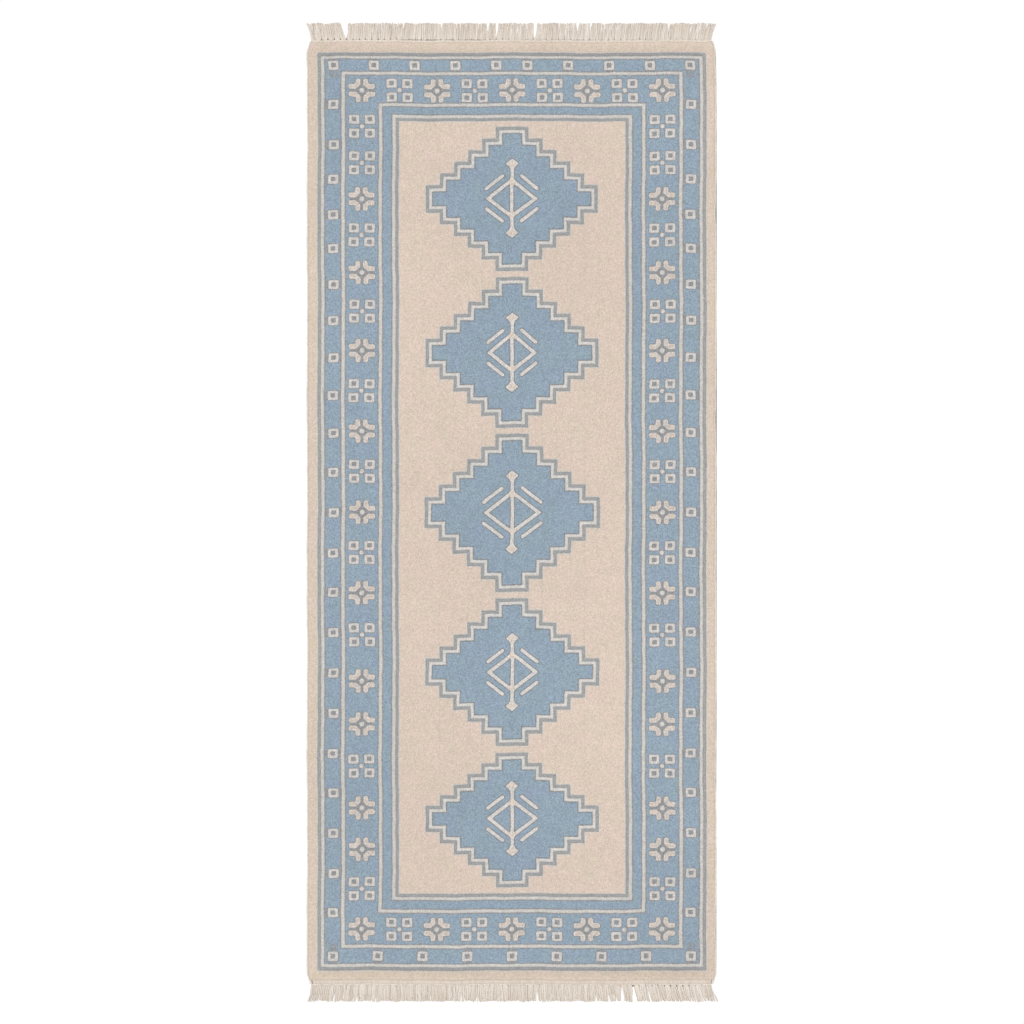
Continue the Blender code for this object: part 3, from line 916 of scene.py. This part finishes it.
def make_header_tape(end, sign):
    """The woven tape under the roots of the tassels, coloured dark as painted shade in the slits between
    them.
    """
    bm = bmesh.new()
    bmesh.ops.create_cube(bm, size=1)
    inner, outer = HEM_END - 1 * MM, HEADER_END + 0.8 * MM
    bmesh.ops.scale(bm, vec=(2 * HEADER_HALF_WIDTH, outer - inner, TAPE_THICKNESS), verts=bm.verts)
    bmesh.ops.translate(bm, vec=(0, sign * (inner + outer) / 2, 0.5 * MM), verts=bm.verts)
    long_edges = [edge for edge in bm.edges if abs(edge.verts[0].co.x - edge.verts[1].co.x) > 0.1]
    bmesh.ops.subdivide_edges(bm, edges=long_edges, cuts=TAPE_CUTS)
    return finished(f"header_tape_{end}", bm, TAPE, "rug", f"fringe_header_{end}")


# ---------------------------------------------------------------- fringe


def strand_mesh():
    """One straight strand along Z, from 0 to 1, of radius 1, with rings to bend at and a narrowed tip."""
    bm = bmesh.new()
    bmesh.ops.create_cone(bm, cap_ends=True, segments=STRAND_SIDES, radius1=1, radius2=1, depth=1)
    bmesh.ops.translate(bm, vec=(0, 0, 0.5), verts=bm.verts)
    long_edges = [edge for edge in bm.edges if abs(edge.verts[0].co.z - edge.verts[1].co.z) > 0.5]
    bmesh.ops.subdivide_edges(bm, edges=long_edges, cuts=STRAND_ROWS - 1)
    mesh = bpy.data.meshes.new("strand")
    bm.to_mesh(mesh)
    bm.free()
    return mesh


def parted(root, partings):
    """How far each strand's tip is pushed aside by the partings near it, and where along it that starts."""
    push = np.zeros_like(root)
    start = np.zeros_like(root)
    for place, width, share in partings:
        gap = (root - place * MM) / PARTING_REACH
        own = np.sign(gap) * (width / 2 + 0.6) * MM * np.exp(-np.abs(gap))
        start = np.where(np.abs(own) > np.abs(push), 1 - share, start)
        push += own
    return push, start


def each(values):
    """One row for each strand, to go with one column for each point along it."""
    return np.asarray(values)[:, None]


def strand_points(base, sign, lean_points, partings, neck_points, extra):
    """The points of all the strands of one fringe, with their shades, as if it were the far one."""
    rng = np.random.default_rng(SEED + sign)
    tassels = round(2 * HEADER_HALF_WIDTH / TASSEL_PITCH)
    count = tassels * STRANDS
    t, ring_x, ring_y = base[:, 2], base[:, 0], base[:, 1]
    pitch = 2 * FRINGE_HALF_WIDTH / tassels
    tassel = np.repeat(np.arange(tassels), STRANDS)
    order = np.tile(np.arange(STRANDS), tassels)
    middle = -FRINGE_HALF_WIDTH + (tassel + 0.5) * pitch
    offset = (order - (STRANDS - 1) / 2) * pitch / STRANDS
    upper = (order % 2).astype(float)
    root = middle + offset
    lean = np.interp(root / MM, *zip(*lean_points)) * MM
    lean += 1.2 * MM * np.sin(root * 210 + sign) + 0.8 * MM * np.sin(root * 430 + 2)
    push, parts_at = parted(root, partings)
    tip_shift = lean + rng.normal(0, 0.5 * MM, tassels)[tassel] + rng.normal(0, 1.1 * MM, count)
    start = HEM_END - 0.4 * MM
    reach = FRINGE_TIP - start + extra + rng.normal(-0.4 * MM, 0.6 * MM, count)
    reach += 0.7 * MM * np.sin(root * 160 + 2 * sign)
    curl, phase = rng.normal(0, 0.65 * MM, count), rng.uniform(0, 6.28, count)
    twist = rng.uniform(0, 6.28, count)
    drop = rng.uniform(-0.5, 0.5, count) * MM
    neck = np.interp(middle / MM, *zip(*neck_points)) + rng.normal(0, 0.05, tassels)[tassel]
    neck = np.where(np.abs(middle) > FRINGE_HALF_WIDTH - pitch, 1.0, neck)
    along = t[None, :]
    spread = each(neck) + (1 - each(neck)) * smooth(along, 0.1, 0.26)
    centre_x = each(middle) + each(offset) * spread + each(tip_shift) * along**1.15
    centre_x += each(push) * np.sqrt(np.clip((along - each(parts_at)) / (1 - each(parts_at)), 0, 1))
    centre_x += each(curl) * np.sin(7.0 * along + each(phase)) * along
    centre_y = start + each(reach) * along
    low = 1.45 * MM + 0.5 * MM * (1 - along)
    high = 3.7 * MM - 1.1 * MM * along + each(drop)
    centre_z = np.where(each(upper) > 0, high, low)
    ply = 1 + 0.13 * np.cos(2 * (np.arctan2(ring_y, ring_x)[None, :] - 16 * along + each(twist)))
    taper = 1 - 0.35 * smooth(t, 0.93, 1.0)
    radius = STRAND_RADIUS * ply * taper[None, :] * (0.86 + 0.14 * smooth(t, 0, 0.3))[None, :]
    points = np.stack(
        [centre_x + ring_x * radius, centre_y + 0 * radius, centre_z + ring_y * radius], axis=2
    ).reshape(-1, 3)
    shade = rng.normal(0.5, 0.17, count) + rng.normal(0, 0.06, tassels)[tassel]
    # painted light at the roots and painted shade towards the tips, to even out how light falls along the
    # strands
    shade = each(shade) + 0.22 - 0.5 * along
    return points, np.clip(shade, 0, 1).ravel()


def make_fringe(end, sign, lean_points, partings, neck_points, extra):
    """One fringe, its strands laid from the header out to their tips."""
    template = strand_mesh()
    points, shade = strand_points(coordinates(template), sign, lean_points, partings, neck_points, extra)
    bm = bmesh.new()
    for _ in range(len(points) // len(template.vertices)):
        bm.from_mesh(template)
    bmesh.ops.recalc_face_normals(bm, faces=bm.faces)
    piece = finished(f"fringe_strands_{end}", bm, FRINGE_COTTON, None, f"fringe_{end}")
    store(piece.data, "shade", shade)
    points = lay(points)
    points[:, 1] *= sign
    points[:, 2] = np.maximum(points[:, 2], LIFTED)
    place_points(piece.data, points)
    if sign < 0:
        piece.data.flip_normals()
    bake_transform(piece)
    return piece


# ---------------------------------------------------------------- stage


def make_floor():
    """A plain pale floor, which looks white to the camera."""
    bm = bmesh.new()
    bmesh.ops.create_grid(bm, x_segments=1, y_segments=1, size=FLOOR_HALF_SIZE)
    mesh = bpy.data.meshes.new("floor")
    bm.to_mesh(mesh)
    bm.free()
    material, tree, shader = new_material("pale_floor")
    seen = add(tree, "ShaderNodeLightPath", {}).outputs["Is Camera Ray"]
    glow = add(tree, "ShaderNodeEmission", {"Strength": FLOOR_GLOW}).outputs["Emission"]
    inputs = {0: seen, 1: shader.outputs["BSDF"], 2: glow}
    mixed = add(tree, "ShaderNodeMixShader", inputs).outputs["Shader"]
    tree.links.new(mixed, tree.nodes["Material Output"].inputs["Surface"])
    shader.inputs["Base Color"].default_value = FLOOR_TONE
    shader.inputs["Roughness"].default_value = 1.0
    shader.inputs["Specular IOR Level"].default_value = 0.0
    mesh.materials.append(material)
    floor = bpy.data.objects.new("floor", mesh)
    bpy.context.scene.collection.objects.link(floor)


def make_light():
    """Even light from all round, with a wide soft lamp from above."""
    world = bpy.data.worlds.new("studio")
    world.use_nodes = True
    world.node_tree.nodes["Background"].inputs["Color"].default_value = (1, 1, 1, 1)
    world.node_tree.nodes["Background"].inputs["Strength"].default_value = WORLD_STRENGTH
    bpy.context.scene.world = world
    lamp = bpy.data.lights.new("softbox", "SUN")
    lamp.angle = math.radians(SUN_ANGLE)
    lamp.energy = SUN_ENERGY
    softbox = bpy.data.objects.new("softbox", lamp)
    softbox.rotation_euler = (math.radians(SUN_TILT[0]), math.radians(SUN_TILT[1]), 0)
    bpy.context.scene.collection.objects.link(softbox)


def make_camera():
    """Straight down on the middle of the rug."""
    data = bpy.data.cameras.new("camera")
    data.lens = LENS
    data.sensor_width = SENSOR
    camera = bpy.data.objects.new("camera", data)
    camera.location = (CAMERA_X, CAMERA_Y, PILE_TOP + VIEW * LENS / SENSOR)
    bpy.context.scene.collection.objects.link(camera)
    bpy.context.scene.camera = camera
    bpy.context.scene.view_settings.view_transform = "Standard"


make_floor()
make_light()
make_camera()
make_rings()
make_field()
for medallion in MEDALLIONS:
    make_medallion(medallion)
foundation = make_sheet("woven_foundation_cloth", "woven_foundation", JUTE)
coat = make_sheet("latex_coat", "latex_back_coat", LATEX)
edges = make_edges()
tapes = [make_header_tape(end, sign) for end, sign in (("far", 1), ("near", -1))]
fringes = [
    make_fringe("far", 1, FAR_LEAN, FAR_PARTINGS, FAR_NECKS, FAR_EXTRA),
    make_fringe("near", -1, NEAR_LEAN, NEAR_PARTINGS, NEAR_NECKS, NEAR_EXTRA),
]
